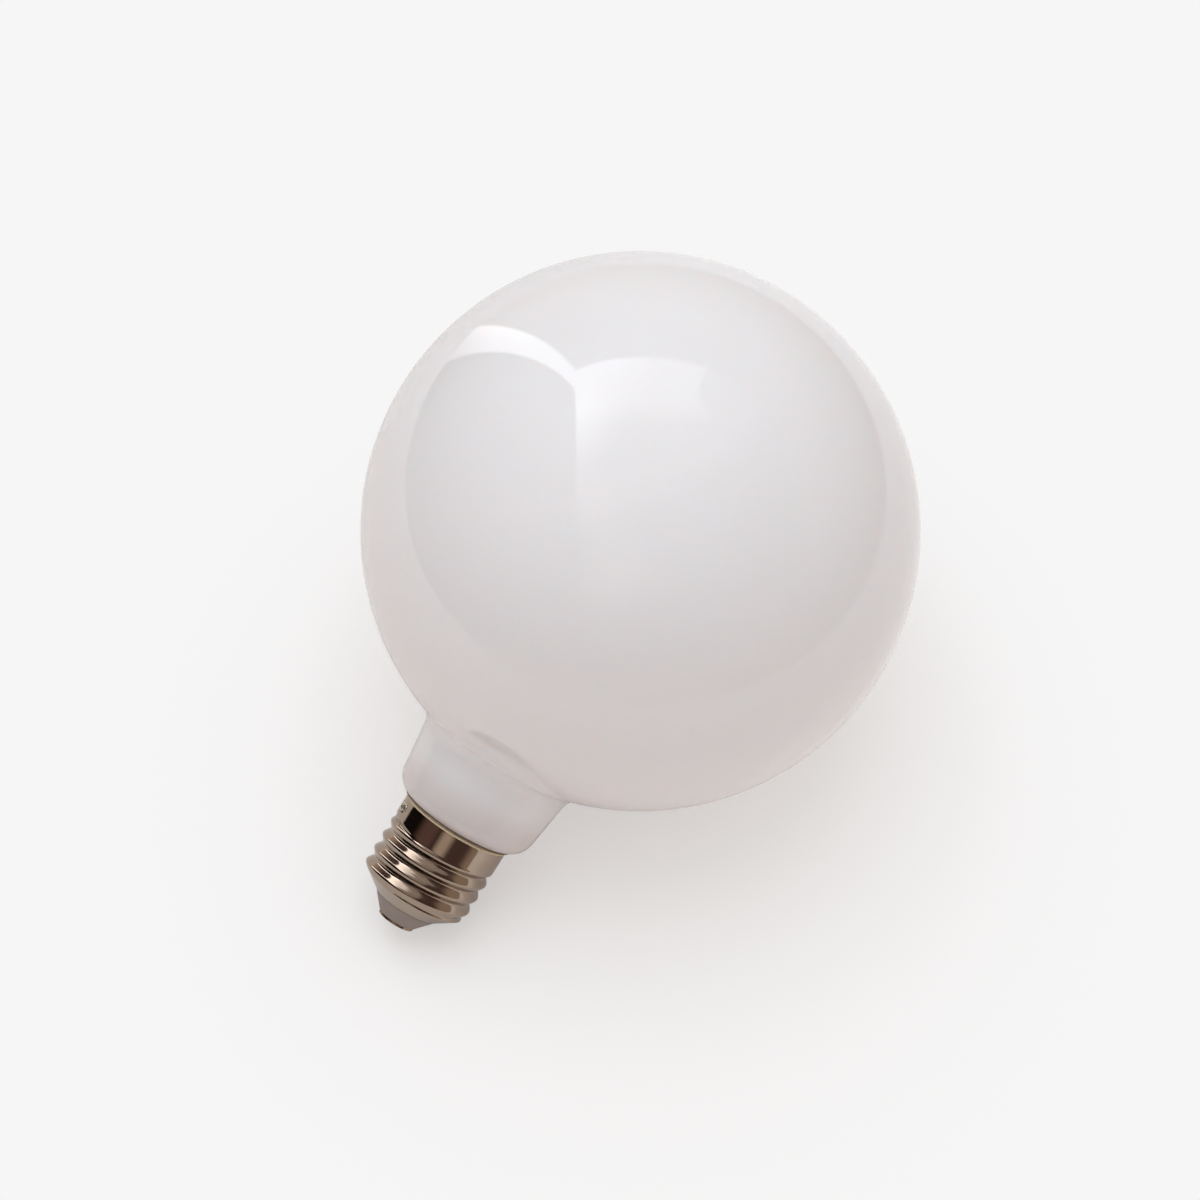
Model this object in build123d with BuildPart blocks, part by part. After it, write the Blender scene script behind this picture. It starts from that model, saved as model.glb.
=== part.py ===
"""Opal globe LED lamp on an E27 screw cap.

Sizes are in millimetres. The origin is the centre of the tip contact's face, and +Z runs up the
lamp's axis, from the cap to the top of the globe.
"""

from build123d import *
import math
import os

os.makedirs("parts", exist_ok=True)

# Driving dimensions: the opal glass bulb
globe_diameter = 125.0
neck_length = 15.2
neck_step = 5.45
neck_half_taper = 7.0
neck_shoulder_radius = 5.0
neck_globe_fillet = 5.0
stub_clearance = 0.83
shoulder_gap = 0.3

# Driving dimensions: the rolled sheet shell of the screw cap, from its mouth at the insulator up
sheet = 0.3
shell_cone_half_angle = 53.5
thread_length = 16.4
thread_lead_in = 1.63
thread_major_diameter = 26.2
thread_depth = 1.0
thread_pitch = 3.629
thread_crest_radius = 1.025
thread_flank_angle = 47.8
thread_root_flat = 0.3
thread_fade = 0.5
collar_set_in = 0.15
collar_length = 4.9
lip_flare = 0.7
lip_length = 1.5

# Driving dimensions: the moulded insulator
insulator_tip_margin = 0.1
insulator_tip_rounding = 0.6
insulator_cone_length = 3.95
insulator_cone_half_angle = 40.0
insulator_rim_step = 0.4
insulator_rim_width = 2.2
insulator_floor = 2.5
insulator_cup_diameter = 8.0

# Driving dimensions: the centre contact and its pin
contact_diameter = 8.8
contact_thickness = 0.6
contact_edge_rounding = 0.25
contact_shank_diameter = 3.4
contact_clinch_width = 0.6
contact_clinch_thickness = 0.5
pin_head_diameter = 4.0
pin_head_thickness = 0.35
pin_shank_diameter = 1.9
pin_end_length = 0.6
running_clearance = 0.05

# Driving dimensions: the leads
centre_lead_diameter = 0.8
side_lead_diameter = 0.5
side_lead_angle = 247.0
side_lead_bend = 0.8
side_lead_drop = 1.5
side_lead_room = 0.1
solder_radius = 1.1
solder_height = 0.55
output_lead_diameter = 0.6
output_lead_spacing = 5.0
output_lead_place = (4.8, -3.0)
cement_start_gap = 0.6

# Driving dimensions: the driver
board_thickness = 1.0
board_clearance = 0.15
sleeve_wall = 0.4
sleeve_clearance = 0.25
sleeve_head_gap = 0.8
driver_headroom = 1.5
capacitor_diameter = 6.3
capacitor_length = 8.0
capacitor_crimp_depth = 0.3
capacitor_crimp_height = 1.2
capacitor_place = (-4.5, -3.0)
resistor_diameter = 2.4
resistor_length = 6.3
resistor_lead_diameter = 0.6
resistor_lead_overhang = 1.2
resistor_lead_bend = 0.5
resistor_lift = 0.3
resistor_place = 5.5
rectifier_size = (3.9, 4.7, 1.5)
rectifier_place = 2.9
chip_size = (3.9, 4.9, 1.4)
chip_place = -2.9
package_bevel = 0.2
chip_resistor_size = (3.2, 1.6, 0.6)
chip_resistor_spacing = 9.0

# Heights, from the contact's face up
mouth_height = contact_thickness + insulator_cone_length
thread_top = mouth_height + thread_length
collar_top = thread_top + collar_length
lip_top = collar_top + lip_length
shoulder_height = lip_top + shoulder_gap
globe_bottom = shoulder_height + neck_length
globe_centre = globe_bottom + globe_diameter / 2
overall_length = globe_bottom + globe_diameter
floor_top = contact_thickness + insulator_floor
clinch_top = floor_top + contact_clinch_thickness
pin_top = clinch_top + pin_end_length
cement_bottom = thread_top + cement_start_gap
side_lead_height = collar_top - side_lead_drop

# How far the core stands over the feet of the thread, how deep the thread's base sits in the
# core, and how far a trimming form reaches past what it trims
foot_lift = 0.03
thread_bite = 0.5
overrun = 2.0

# Radii
cone_slope = math.tan(math.radians(shell_cone_half_angle))
insulator_cone_slope = math.tan(math.radians(insulator_cone_half_angle))
tip_radius = contact_diameter / 2 + insulator_tip_margin
mouth_radius = tip_radius + insulator_cone_length * insulator_cone_slope
mouth_inner_radius = mouth_radius - sheet / math.cos(math.radians(shell_cone_half_angle))
crest_radius = thread_major_diameter / 2
foot_radius = crest_radius - thread_depth
core_inner_radius = foot_radius + foot_lift - sheet
collar_radius = crest_radius - collar_set_in
collar_inner_radius = collar_radius - sheet
lip_radius = collar_radius + lip_flare
stub_radius = core_inner_radius - stub_clearance
neck_radius = stub_radius + neck_step
globe_radius = globe_diameter / 2
contact_bore_radius = pin_shank_diameter / 2 + running_clearance
side_lead_radius = side_lead_diameter / 2
side_lead_reach = (stub_radius + core_inner_radius) / 2
sleeve_radius = side_lead_reach - side_lead_radius - sleeve_clearance

# The side lead comes out through the collar on this bearing
bearing_x = math.cos(math.radians(side_lead_angle))
bearing_y = math.sin(math.radians(side_lead_angle))
lead_plane = Plane(origin=(0, 0, 0), x_dir=(bearing_x, bearing_y, 0), z_dir=(bearing_y, -bearing_x, 0))
lead_exit = Plane(
    origin=(0, 0, side_lead_height), x_dir=(-bearing_y, bearing_x, 0), z_dir=(bearing_x, bearing_y, 0)
)


def cone_height(radius, start_radius):
    """Height at which the shell's cone, started at start_radius in its mouth, reaches a radius."""
    return mouth_height + (radius - start_radius) / cone_slope


# Heights of the pieces stacked on the insulator, whose rim is just above the shell's cone
seat_height = cone_height(core_inner_radius, mouth_inner_radius)
rim_height = seat_height + insulator_rim_step
board_top = rim_height + board_thickness
stub_bottom = board_top + capacitor_length + driver_headroom


def thread_turns(inset):
    """The rolled thread as a helical ridge, its skin moved inwards by inset, untrimmed."""
    flank = math.radians(thread_flank_angle)
    crest = crest_radius - inset
    foot = foot_radius - inset
    rounding = thread_crest_radius - inset
    crest_half_width = rounding * math.sin(flank)
    flank_radius = crest - rounding * (1 - math.cos(flank))
    foot_half_width = (thread_pitch - thread_root_flat) / 2
    start = mouth_height - thread_lead_in
    with BuildPart() as turns:
        with BuildLine(Plane.XY.offset(start)) as path:
            Helix(pitch=thread_pitch, height=thread_top + overrun - start, radius=foot)
        with BuildSketch(Plane.XZ.shift_origin((0, 0, start))):
            with BuildLine():
                ThreePointArc(
                    (flank_radius, -crest_half_width), (crest, 0), (flank_radius, crest_half_width)
                )
                Spline(
                    (flank_radius, crest_half_width),
                    (foot, foot_half_width),
                    tangents=((-math.sin(flank), math.cos(flank)), (0, 1)),
                )
                Polyline(
                    (foot, foot_half_width),
                    (foot - thread_bite, foot_half_width),
                    (foot - thread_bite, -foot_half_width),
                    (foot, -foot_half_width),
                )
                Spline(
                    (foot, -foot_half_width),
                    (flank_radius, -crest_half_width),
                    tangents=((0, 1), (math.sin(flank), math.cos(flank))),
                )
            make_face()
        sweep(path=path.line, is_frenet=True)
    return turns.part


def shell_form(inset, start_radius):
    """The shell as a filled form, its skin moved inwards by inset."""
    core = foot_radius + foot_lift - inset
    reach = crest_radius + overrun
    with BuildPart() as form:
        with BuildSketch(Plane.XZ):
            with BuildLine():
                Polyline(
                    (0, mouth_height),
                    (start_radius, mouth_height),
                    (reach, cone_height(reach, start_radius)),
                    (reach, thread_top),
                    (0, thread_top),
                    close=True,
                )
            make_face()
        revolve(axis=Axis.Z)
        add(thread_turns(inset), mode=Mode.INTERSECT)
        with BuildSketch(Plane.XZ):
            with BuildLine():
                Polyline(
                    (0, mouth_height),
                    (start_radius, mouth_height),
                    (core, cone_height(core, start_radius)),
                    (core, thread_top - thread_fade),
                    (collar_radius - inset, thread_top),
                    (collar_radius - inset, collar_top),
                    (lip_radius - inset, lip_top),
                    (0, lip_top),
                    close=True,
                )
            make_face()
        revolve(axis=Axis.Z)
    return form.part


# The opal bulb: a globe, a tapered neck with a round shoulder, and a stub inside the cap
taper_slope = math.tan(math.radians(neck_half_taper))
junction_radius = neck_radius + taper_slope * neck_length
junction_height = globe_centre - math.sqrt(globe_radius**2 - junction_radius**2)
with BuildPart() as glass_globe:
    with BuildSketch(Plane.XZ):
        with BuildLine():
            Polyline(
                (0, stub_bottom),
                (stub_radius, stub_bottom),
                (stub_radius, shoulder_height),
                (neck_radius, shoulder_height),
                (junction_radius, junction_height),
            )
            ThreePointArc(
                (junction_radius, junction_height), (globe_radius, globe_centre), (0, overall_length)
            )
            Line((0, overall_length), (0, stub_bottom))
        make_face()
        fillet(vertices().sort_by_distance((neck_radius, shoulder_height))[0], neck_shoulder_radius)
        fillet(vertices().sort_by_distance((junction_radius, junction_height))[0], neck_globe_fillet)
    revolve(axis=Axis.Z)
glass_globe.part.label = "glass_globe"
export_step(glass_globe.part, "parts/glass_globe.step")

# The rolled sheet shell, with the hole in its collar for the side lead
with BuildPart() as screw_shell:
    add(shell_form(0, mouth_radius))
    add(shell_form(sheet, mouth_inner_radius), mode=Mode.SUBTRACT)
    with BuildSketch(lead_exit):
        Circle(side_lead_radius + side_lead_room)
    extrude(amount=2 * lip_radius, mode=Mode.SUBTRACT)
screw_shell.part.label = "screw_shell"
export_step(screw_shell.part, "parts/screw_shell.step")

# The cement that holds the bulb's stub in the collar, with a channel for the side lead
with BuildPart() as capping_cement:
    with BuildSketch(Plane.XZ):
        with BuildLine():
            Polyline(
                (stub_radius, cement_bottom),
                (collar_inner_radius, cement_bottom),
                (collar_inner_radius, collar_top),
                (lip_radius - sheet, lip_top),
                (stub_radius, lip_top),
                close=True,
            )
        make_face()
    revolve(axis=Axis.Z)
    with BuildSketch(Plane.XY.offset(cement_bottom)):
        with PolarLocations((stub_radius + collar_inner_radius) / 2, 1, start_angle=side_lead_angle):
            Rectangle(
                2 * (collar_inner_radius - stub_radius), side_lead_diameter + 2 * side_lead_room
            )
    channel_length = side_lead_height + side_lead_radius + side_lead_room - cement_bottom
    extrude(amount=channel_length, mode=Mode.SUBTRACT)
capping_cement.part.label = "capping_cement"
export_step(capping_cement.part, "parts/capping_cement.step")

# The side lead: up past the stub from the board's edge, then out through the collar
with BuildPart() as side_lead:
    with BuildLine(lead_plane) as side_lead_path:
        FilletPolyline(
            (side_lead_reach, board_top),
            (side_lead_reach, side_lead_height),
            (collar_radius - running_clearance, side_lead_height),
            radius=side_lead_bend,
        )
    with BuildSketch(Plane.XY.offset(board_top)):
        with PolarLocations(side_lead_reach, 1, start_angle=side_lead_angle):
            Circle(side_lead_radius)
    sweep(path=side_lead_path.line)
side_lead.part.label = "side_lead"
export_step(side_lead.part, "parts/side_lead.step")

# The solder bead over the lead's end, seated on the collar's round wall
with BuildPart() as side_solder:
    with Locations(lead_exit.offset(collar_radius + solder_height - solder_radius)):
        Sphere(solder_radius)
    with Locations((0, 0, side_lead_height)):
        Cylinder(collar_radius, 3 * solder_radius, mode=Mode.SUBTRACT)
side_solder.part.label = "side_solder"
export_step(side_solder.part, "parts/side_solder.step")

# The moulded insulator: the cone between shell and contact, seated in the shell's own cone
with BuildPart() as cap_insulator:
    with BuildSketch(Plane.XZ):
        with BuildLine():
            Polyline(
                (contact_shank_diameter / 2 + running_clearance, contact_thickness),
                (tip_radius, contact_thickness),
                (mouth_radius, mouth_height),
                (mouth_inner_radius, mouth_height),
                (core_inner_radius, seat_height),
                (core_inner_radius, rim_height),
                (core_inner_radius - insulator_rim_width, rim_height),
                (insulator_cup_diameter / 2, floor_top),
                (contact_shank_diameter / 2 + running_clearance, floor_top),
                close=True,
            )
        make_face()
        fillet(
            vertices().sort_by_distance((tip_radius, contact_thickness))[0], insulator_tip_rounding
        )
    revolve(axis=Axis.Z)
cap_insulator.part.label = "cap_insulator"
export_step(cap_insulator.part, "parts/cap_insulator.step")

# The centre contact: a disc with a hollow shank, clinched over the insulator's floor
with BuildPart() as centre_contact:
    with BuildSketch(Plane.XZ):
        with BuildLine():
            Polyline(
                (pin_head_diameter / 2 + running_clearance, 0),
                (contact_diameter / 2, 0),
                (contact_diameter / 2, contact_thickness),
                (contact_shank_diameter / 2, contact_thickness),
                (contact_shank_diameter / 2, floor_top),
                (contact_shank_diameter / 2 + contact_clinch_width, floor_top),
                (contact_shank_diameter / 2 + contact_clinch_width, clinch_top),
                (contact_bore_radius, clinch_top),
                (contact_bore_radius, pin_head_thickness),
                (pin_head_diameter / 2 + running_clearance, pin_head_thickness),
                close=True,
            )
        make_face()
        fillet(vertices().sort_by_distance((contact_diameter / 2, 0))[0], contact_edge_rounding)
    revolve(axis=Axis.Z)
centre_contact.part.label = "centre_contact"
export_step(centre_contact.part, "parts/centre_contact.step")

# The pin pressed into the contact, its head flush with the contact's face
with BuildPart() as contact_pin:
    Cylinder(
        pin_head_diameter / 2, pin_head_thickness, align=(Align.CENTER, Align.CENTER, Align.MIN)
    )
    Cylinder(pin_shank_diameter / 2, pin_top, align=(Align.CENTER, Align.CENTER, Align.MIN))
contact_pin.part.label = "contact_pin"
export_step(contact_pin.part, "parts/contact_pin.step")

# The centre lead, from the pin's end to the board
with BuildPart() as centre_lead:
    with BuildSketch(Plane.XY.offset(pin_top)):
        Circle(centre_lead_diameter / 2)
    extrude(amount=rim_height - pin_top)
centre_lead.part.label = "centre_lead"
export_step(centre_lead.part, "parts/centre_lead.step")

# The round driver board, resting on the insulator's rim
with BuildPart() as driver_board:
    with BuildSketch(Plane.XY.offset(rim_height)):
        Circle(core_inner_radius - board_clearance)
    extrude(amount=board_thickness)
driver_board.part.label = "driver_board"
export_step(driver_board.part, "parts/driver_board.step")

# The plastic sleeve that stands on the board, between the driver and the metal shell
with BuildPart() as insulating_sleeve:
    with BuildSketch(Plane.XY.offset(board_top)):
        Circle(sleeve_radius)
        Circle(sleeve_radius - sleeve_wall, mode=Mode.SUBTRACT)
    extrude(amount=stub_bottom - sleeve_head_gap - board_top)
insulating_sleeve.part.label = "insulating_sleeve"
export_step(insulating_sleeve.part, "parts/insulating_sleeve.step")

# The smoothing capacitor: a can crimped around its bung, standing on the board
with BuildPart() as smoothing_capacitor:
    with BuildSketch(Plane.XY.offset(board_top)):
        with Locations(capacitor_place):
            Circle(capacitor_diameter / 2)
    extrude(amount=capacitor_length)
    fillet(edges().group_by(Axis.Z)[-1], capacitor_crimp_depth)
    with Locations((*capacitor_place, board_top + capacitor_crimp_height)):
        Torus(capacitor_diameter / 2, capacitor_crimp_depth, mode=Mode.SUBTRACT)
smoothing_capacitor.part.label = "smoothing_capacitor"
export_step(smoothing_capacitor.part, "parts/smoothing_capacitor.step")

# The fusible resistor, lying over the board on its two bent leads
resistor_axis = board_top + resistor_lift + resistor_diameter / 2
lead_reach = resistor_length / 2 + resistor_lead_overhang
with BuildPart() as fusible_resistor:
    with BuildLine(Plane.XZ.offset(-resistor_place)) as resistor_leads:
        FilletPolyline(
            (-lead_reach, board_top),
            (-lead_reach, resistor_axis),
            (lead_reach, resistor_axis),
            (lead_reach, board_top),
            radius=resistor_lead_bend,
        )
    with BuildSketch(Plane.XY.offset(board_top)):
        with Locations((-lead_reach, resistor_place)):
            Circle(resistor_lead_diameter / 2)
    sweep(path=resistor_leads.line)
    with Locations((0, resistor_place, resistor_axis)):
        Cylinder(resistor_diameter / 2, resistor_length, rotation=(0, 90, 0))
fusible_resistor.part.label = "fusible_resistor"
export_step(fusible_resistor.part, "parts/fusible_resistor.step")

# The rectifier and the driver chip, moulded packages on the board's underside
for name, size, place in (
    ("bridge_rectifier", rectifier_size, rectifier_place),
    ("driver_chip", chip_size, chip_place),
):
    with BuildPart() as package:
        with Locations((place, 0, rim_height)):
            Box(*size, align=(Align.CENTER, Align.CENTER, Align.MAX))
        chamfer(edges().group_by(Axis.Z)[0], package_bevel)
    package.part.label = name
    export_step(package.part, f"parts/{name}.step")

# The two chip resistors, one each side of the centre lead
with BuildPart() as chip_resistors:
    with Locations((0, 0, rim_height)):
        with GridLocations(0, chip_resistor_spacing, 1, 2):
            Box(*chip_resistor_size, align=(Align.CENTER, Align.CENTER, Align.MAX))
chip_resistors.part.label = "chip_resistors"
export_step(chip_resistors.part, "parts/chip_resistors.step")

# The two output leads, from the board to the bulb's sealed end
for name, side in (("output_lead_positive", 1), ("output_lead_negative", -1)):
    with BuildPart() as output_lead:
        with BuildSketch(Plane.XY.offset(board_top)):
            with Locations((output_lead_place[0], output_lead_place[1] + side * output_lead_spacing / 2)):
                Circle(output_lead_diameter / 2)
        extrude(amount=stub_bottom - board_top)
    output_lead.part.label = name
    export_step(output_lead.part, f"parts/{name}.step")
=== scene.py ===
# %% [markdown]
# A globe lamp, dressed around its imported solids
#
# The lamp is a large opal glass bulb on a nickel-plated Edison screw cap. The solids that carry
# its sizes come in first and never move. Each cell after that either measures something from
# them, makes one piece as a mesh, or makes one finish, so each can be read and changed alone.

# %% Load the fixed frame
import math

import bmesh
import bpy
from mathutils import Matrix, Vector, noise


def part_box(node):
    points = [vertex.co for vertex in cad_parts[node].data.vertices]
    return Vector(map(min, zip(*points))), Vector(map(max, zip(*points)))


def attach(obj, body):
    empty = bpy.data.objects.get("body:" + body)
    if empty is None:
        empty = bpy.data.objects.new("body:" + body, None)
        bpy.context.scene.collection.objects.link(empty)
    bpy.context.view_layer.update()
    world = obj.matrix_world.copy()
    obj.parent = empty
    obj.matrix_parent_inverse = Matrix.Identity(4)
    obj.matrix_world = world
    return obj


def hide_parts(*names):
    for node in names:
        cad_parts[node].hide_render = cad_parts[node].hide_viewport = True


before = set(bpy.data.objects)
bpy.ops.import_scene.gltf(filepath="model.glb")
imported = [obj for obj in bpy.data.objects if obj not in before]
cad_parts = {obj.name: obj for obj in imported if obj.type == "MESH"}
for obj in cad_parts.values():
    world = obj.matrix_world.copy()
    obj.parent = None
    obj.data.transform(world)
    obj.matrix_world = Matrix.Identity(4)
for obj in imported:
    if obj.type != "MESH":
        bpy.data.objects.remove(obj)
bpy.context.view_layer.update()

# %% [markdown]
# Sizes that the meshes share
#
# A lathe-turned or rolled thing is told by few sizes. The large ones are read from the solids'
# own boxes, so that a mesh always fits its solid. The small ones, such as the thread's rounding,
# can't be read from a box and are named here in millimetres.

# %% Read the main sizes from the frame
MM = 0.001

glass_low, glass_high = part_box("glass_globe")
shell_low, shell_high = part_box("screw_shell")
insulator_low, insulator_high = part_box("cap_insulator")
contact_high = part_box("centre_contact")[1]

globe_radius = glass_high.x / MM
globe_centre = glass_high.z / MM - globe_radius
stub_bottom = glass_low.z / MM
mouth_height = shell_low.z / MM
lip_top = shell_high.z / MM
lip_radius = shell_high.x / MM
print("globe radius %.2f, its centre at z %.2f mm" % (globe_radius, globe_centre))
print("shell from z %.2f to %.2f mm, lip radius %.2f mm" % (mouth_height, lip_top, lip_radius))

# %% [markdown]
# The camera
#
# The lamp lies on a table with its cap towards the lower left, and is seen from above and a
# little from its globe's end. The camera could be aimed by a Track To constraint, but its roll
# matters here, so its three axes are worked out and written into its matrix. The globe's centre
# is then placed on its own pixel of the picture by moving the camera sideways, without lens shift.

# %% Place the camera
PICTURE = 1200
GLOBE_PIXEL = (640.6, 531.35)
GLOBE_PIXEL_RADIUS = 280.0
FOCAL_PIXELS = 4918.0
SENSOR = 36.0
view_bearing = math.radians(45.0)
view_rise = math.radians(9.2)
view_roll = math.radians(32.2)

towards_camera = Vector((
    math.sin(view_bearing) * math.cos(view_rise),
    -math.cos(view_bearing) * math.cos(view_rise),
    math.sin(view_rise),
))
level_right = Vector((math.cos(view_bearing), math.sin(view_bearing), 0))
level_up = towards_camera.cross(level_right)
camera_right = math.cos(view_roll) * level_right + math.sin(view_roll) * level_up
camera_up = towards_camera.cross(camera_right)

distance = FOCAL_PIXELS * globe_radius / GLOBE_PIXEL_RADIUS * MM
globe_point = Vector((0, 0, globe_centre * MM))
metres_per_pixel = distance / FOCAL_PIXELS
camera_place = (
    globe_point
    + towards_camera * distance
    - camera_right * (GLOBE_PIXEL[0] - PICTURE / 2) * metres_per_pixel
    - camera_up * (PICTURE / 2 - GLOBE_PIXEL[1]) * metres_per_pixel
)

camera = bpy.data.objects.new("camera", bpy.data.cameras.new("camera"))
bpy.context.scene.collection.objects.link(camera)
camera.data.sensor_width = SENSOR
camera.data.lens = FOCAL_PIXELS / PICTURE * SENSOR
camera.matrix_world.col[0] = (*camera_right, 0)
camera.matrix_world.col[1] = (*camera_up, 0)
camera.matrix_world.col[2] = (*towards_camera, 0)
camera.matrix_world.col[3] = (*camera_place, 1)
bpy.context.scene.camera = camera
bpy.context.scene.view_settings.view_transform = "Standard"
print("camera %.3f m away, lens %.1f mm" % (distance, camera.data.lens))

# %% [markdown]
# Turning a profile into a mesh
#
# Glass, insulator and contact are all round about the lamp's axis. The Screw modifier could spin
# a profile, but it gives no say over each vertex, and glass needs small uneven spots. So a plain
# function spins a closed profile and takes an optional offset for each point of the surface.

# %% Helpers for meshes
def new_piece(name, mesh_data):
    """An object from a filled bmesh, smooth shaded, linked to the scene and riding on the lamp."""
    bmesh.ops.recalc_face_normals(mesh_data, faces=mesh_data.faces)
    mesh = bpy.data.meshes.new(name)
    mesh_data.to_mesh(mesh)
    mesh_data.free()
    mesh.polygons.foreach_set("use_smooth", [True] * len(mesh.polygons))
    piece = bpy.data.objects.new(name, mesh)
    bpy.context.scene.collection.objects.link(piece)
    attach(piece, "root")
    print("%s: %d faces" % (name, len(mesh.polygons)))
    return piece


def around_axis(turn, radius, height):
    """A point in metres, from its bearing and from its radius and height in millimetres."""
    return (radius * math.cos(turn) * MM, radius * math.sin(turn) * MM, height * MM)


def arc(centre, radius, start, end, steps):
    """Points along an arc, from the start angle to the end angle in degrees."""
    angles = [math.radians(start + (end - start) * step / steps) for step in range(steps + 1)]
    return [(centre[0] + radius * math.cos(a), centre[1] + radius * math.sin(a)) for a in angles]


def spin(profile, columns, uneven=None):
    """A round solid from a profile of (radius, height) in mm; points on the axis become poles."""
    solid = bmesh.new()
    rings = []
    for radius, height in profile:
        if radius < 1e-6:
            rings.append([solid.verts.new(around_axis(0, 0, height))])
            continue
        ring = []
        for column in range(columns):
            turn = 2 * math.pi * column / columns
            out, up = uneven(turn, radius, height) if uneven else (radius, height)
            ring.append(solid.verts.new(around_axis(turn, out, up)))
        rings.append(ring)
    for lower, upper in zip(rings, rings[1:] + rings[:1]):
        if len(lower) == len(upper) == 1:
            continue
        for column in range(columns):
            after = (column + 1) % columns
            corners = [lower[column % len(lower)], lower[after % len(lower)]]
            corners += [upper[after % len(upper)], upper[column % len(upper)]]
            solid.faces.new(list(dict.fromkeys(corners)))
    return solid


# %% [markdown]
# The opal glass bulb
#
# The bulb is blown into a mould: a sphere, a tapered neck with a round shoulder, and a stub that
# the cap holds. A sphere joined to a cone would leave a hard crease, which blown glass never has.
# So its profile is lines and arcs that run smoothly into each other, with a fillet worked out
# between neck and shoulder and one between neck and globe. Mould-blown glass isn't perfect, so
# the surface wanders by a few hundredths of a millimetre, and the glass was pinched where neck
# meets globe: fine ridges lie there, in a patch that thins out at both ends.

# %% Make the glass bulb
NECK_STEP = 5.45
STUB_RADIUS = 11.0
SHOULDER_GAP = 0.05
NECK_TAPER = math.radians(7.0)
SHOULDER_ROUNDING = 5.0
GLOBE_FILLET = 5.0
STUB_ROUNDING = 0.4

neck_radius = STUB_RADIUS + NECK_STEP
shoulder_height = lip_top + SHOULDER_GAP

# The shoulder's rounding touches the flat shoulder and the tapered side
corner_reach = SHOULDER_ROUNDING * math.tan(math.radians(90) / 2 + NECK_TAPER / -2)
shoulder_centre = (neck_radius - corner_reach, shoulder_height + SHOULDER_ROUNDING)

# The fillet's centre is one fillet radius outside both the neck's side and the globe
side = Vector((math.sin(NECK_TAPER), math.cos(NECK_TAPER)))
outwards = Vector((math.cos(NECK_TAPER), -math.sin(NECK_TAPER)))
from_globe = Vector((neck_radius, shoulder_height - globe_centre)) + outwards * GLOBE_FILLET
half_b = from_globe.dot(side)
rest = from_globe.length_squared - (globe_radius + GLOBE_FILLET) ** 2
along_side = -half_b - math.sqrt(half_b**2 - rest)
fillet_centre = from_globe + side * along_side + Vector((0, globe_centre))
fillet_side = math.degrees(math.atan2(-outwards.y, -outwards.x))
to_globe = Vector((0, globe_centre)) - fillet_centre
fillet_globe = math.degrees(math.atan2(to_globe.y, to_globe.x))
globe_start = math.degrees(math.atan2(-to_globe.y, -to_globe.x))
print("neck radius %.2f mm; fillet from %.1f to %.1f degrees" % (neck_radius, fillet_side, fillet_globe))

glass_profile = [(0, stub_bottom)]
glass_profile += arc((STUB_RADIUS - STUB_ROUNDING, stub_bottom + STUB_ROUNDING), STUB_ROUNDING, -90, 0, 4)
glass_profile += [(STUB_RADIUS, shoulder_height)]
glass_profile += arc(shoulder_centre, SHOULDER_ROUNDING, -90, -math.degrees(NECK_TAPER), 24)
neck_start = Vector(glass_profile[-1])
neck_end = fillet_centre + GLOBE_FILLET * Vector((-outwards.x, -outwards.y))
glass_profile += [tuple(neck_start.lerp(neck_end, step / 24)) for step in range(1, 24)]
glass_profile += arc(fillet_centre, GLOBE_FILLET, fillet_side, fillet_globe - 360 * (fillet_globe > 180), 40)
glass_profile += arc((0, globe_centre), globe_radius, globe_start, 90, 150)[1:]
glass_profile[-1] = (0, glass_profile[-1][1])

WANDER = 0.05
WANDER_LENGTH = 26.0
RIDGE_HEIGHT = 0.012
RIDGE_PITCH = 0.42
RIDGE_BEARING = math.radians(322)
RIDGE_SPREAD = math.radians(26)
RIDGE_BAND = (42.25, 45.85)
RIDGE_EDGE = 3.0
GLASS_COLUMNS = 288


def glass_uneven(turn, radius, height):
    """Where a point of the glass really lies: wandering a little, and ridged at the pinch."""
    place = Vector((radius * math.cos(turn), radius * math.sin(turn), height)) / WANDER_LENGTH
    offset = -WANDER * abs(noise.noise(place))
    away = (turn - RIDGE_BEARING + math.pi) % (2 * math.pi) - math.pi
    share = max(0.0, 1 - (away / RIDGE_SPREAD) ** 2)
    middle = sum(RIDGE_BAND) / 2
    band = max(0.0, 1 - abs(height - middle) / (middle - RIDGE_BAND[0]) / max(share, 0.01))
    wave = 0.5 + 0.5 * math.sin(2 * math.pi * height / RIDGE_PITCH)
    offset -= RIDGE_HEIGHT * share * min(1.0, RIDGE_EDGE * band) * wave
    return radius + offset, height


opal_bulb = new_piece("opal_bulb", spin(glass_profile, GLASS_COLUMNS, glass_uneven))
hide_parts("glass_globe")

# %% [markdown]
# The screw shell
#
# The cap's shell is thin brass sheet, drawn to a cup, rolled between two threaded wheels and then
# plated. A rolled thread is round at its crests and roots, and its flanks bend all the way. Near
# the collar the groove runs out, and the lip is turned out to a short flange. A Screw modifier
# would make a plain thread, but not one that fades into a cone below and a collar above. So the
# radius is a formula of the turn and the height, and the mesh is a grid wrapped around the axis
# whose rows climb with the helix. Such rows keep each crest on one row of vertices, and its
# highlight stays clean. Where the grid would run past an end, rows are pinched onto the end ring.

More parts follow.
